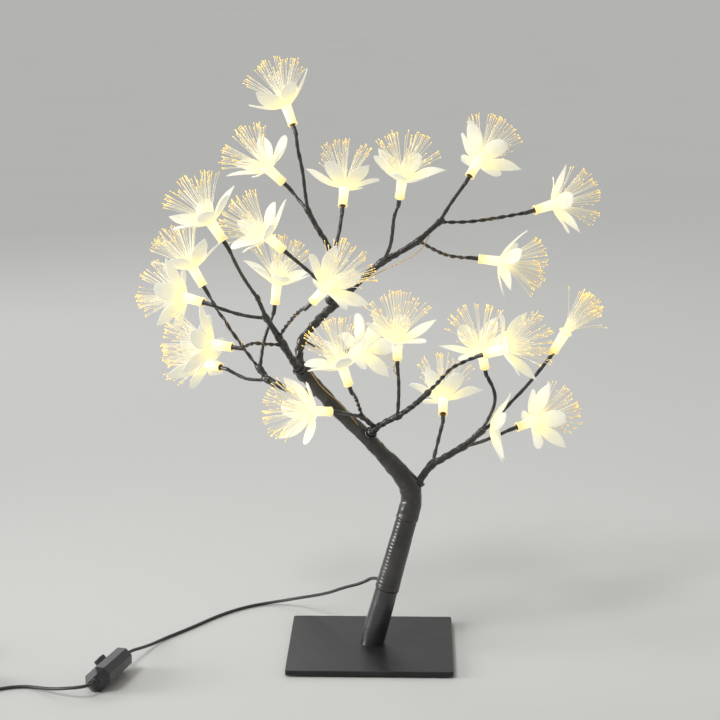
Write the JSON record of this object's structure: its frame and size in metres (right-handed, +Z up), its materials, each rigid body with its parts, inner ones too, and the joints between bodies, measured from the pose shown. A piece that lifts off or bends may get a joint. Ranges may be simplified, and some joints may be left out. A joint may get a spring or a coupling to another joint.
{
  "type": "fiber optic tree lamp",
  "caption": "Black bonsai-tree table lamp: leaning wrapped trunk, bendable boughs, glowing flowers with petals and fibre tufts, square base, cord with switch.",
  "frame": {"origin": "the middle of the base pad's underside, on the surface that the lamp stands on", "axes": "+Z up, +X to the right and +Y away from a viewer in front of the lamp; the trunk leans towards +X"},
  "size_m": [0.4789, 0.2274, 0.432],
  "materials": {
    "base_paint": "gloss",
    "base_foam": "matte",
    "steel": "satin",
    "foot_paint": "satin",
    "tube_paint": "satin",
    "lead_jacket": "gloss",
    "trunk_tape": "satin",
    "grommet_rubber": "matte",
    "bough_tape": "gloss",
    "clear_sleeve": "gloss",
    "led_lens": "gloss",
    "fibre": "gloss",
    "petal": "satin",
    "cord_jacket": "satin",
    "tie_plastic": "matte",
    "switch_plastic": "satin",
    "button_plastic": "gloss",
    "board": "satin",
    "relief_rubber": "matte",
    "plug_plastic": "satin",
    "plug_metal": "polished",
    "plug_core": "satin",
    "contact_gold": "polished"
  },
  "bodies": {
    "root": {"base_pad": "base_foam", "base_plate": "base_paint", "coil_tie": "tie_plastic", "cord_coil": "cord_jacket", "cord_grommet": "grommet_rubber", "cord_to_coil": "cord_jacket", "cord_to_plug": "cord_jacket", "cord_to_switch": "cord_jacket", "foot_screw": "steel", "lead_harness": "lead_jacket", "plug_body": "plug_plastic", "plug_contacts": "contact_gold", "plug_shell": "plug_metal", "plug_tongue": "plug_core", "switch_board": "board", "switch_bottom_shell": "switch_plastic", "switch_screws": "steel", "switch_spring": "steel", "switch_strain_reliefs": "relief_rubber", "switch_top_shell": "switch_plastic", "trunk_armature": "steel", "trunk_foot": "foot_paint", "trunk_tube": "tube_paint", "trunk_wrap": "trunk_tape"},
    "left_bough": {"left_stems": "bough_tape", "left_sleeves": "clear_sleeve", "left_leds": "led_lens", "left_fibres": "fibre", "left_petals": "petal"},
    "rear_left_bough": {"rear_left_stems": "bough_tape", "rear_left_sleeves": "clear_sleeve", "rear_left_leds": "led_lens", "rear_left_fibres": "fibre", "rear_left_petals": "petal"},
    "centre_bough": {"centre_stems": "bough_tape", "centre_sleeves": "clear_sleeve", "centre_leds": "led_lens", "centre_fibres": "fibre", "centre_petals": "petal"},
    "front_bough": {"front_stems": "bough_tape", "front_sleeves": "clear_sleeve", "front_leds": "led_lens", "front_fibres": "fibre", "front_petals": "petal"},
    "right_bough": {"right_stems": "bough_tape", "right_sleeves": "clear_sleeve", "right_leds": "led_lens", "right_fibres": "fibre", "right_petals": "petal", "slipped_petals": "petal"},
    "crown_bough": {"crown_stems": "bough_tape", "crown_sleeves": "clear_sleeve", "crown_leds": "led_lens", "crown_fibres": "fibre", "crown_petals": "petal"},
    "switch_button": {"switch_button": "button_plastic"}
  },
  "joints": [
    {"name": "left_bough_bend", "type": "hinge", "parent": "root", "child": "left_bough", "pos_m": [-0.052, -0.004, 0.212], "axis": [0, 1, 0], "range_deg": [-12, 12]},
    {"name": "rear_left_bough_bend", "type": "hinge", "parent": "root", "child": "rear_left_bough", "pos_m": [-0.044, 0.007, 0.193], "axis": [0, 1, 0], "range_deg": [-12, 12]},
    {"name": "centre_bough_bend", "type": "hinge", "parent": "root", "child": "centre_bough", "pos_m": [-0.051, 0.006, 0.214], "axis": [0, 1, 0], "range_deg": [-12, 12]},
    {"name": "front_bough_bend", "type": "hinge", "parent": "root", "child": "front_bough", "pos_m": [0, -0.006, 0.166], "axis": [0, 1, 0], "range_deg": [-12, 12]},
    {"name": "right_bough_bend", "type": "hinge", "parent": "root", "child": "right_bough", "pos_m": [0.035, 0.002, 0.128], "axis": [0, 1, 0], "range_deg": [-8, 12]},
    {"name": "crown_bough_bend", "type": "hinge", "parent": "centre_bough", "child": "crown_bough", "pos_m": [-0.029, 0.005, 0.261], "axis": [0, 1, 0], "range_deg": [-12, 12]},
    {"name": "button_press", "type": "slide", "parent": "root", "child": "switch_button", "axis": [0.6847, -0.1765, -0.7071], "range_m": [0, 0.0015], "stiffness_N_per_m": 400, "springref_m": -0.001}
  ]
}
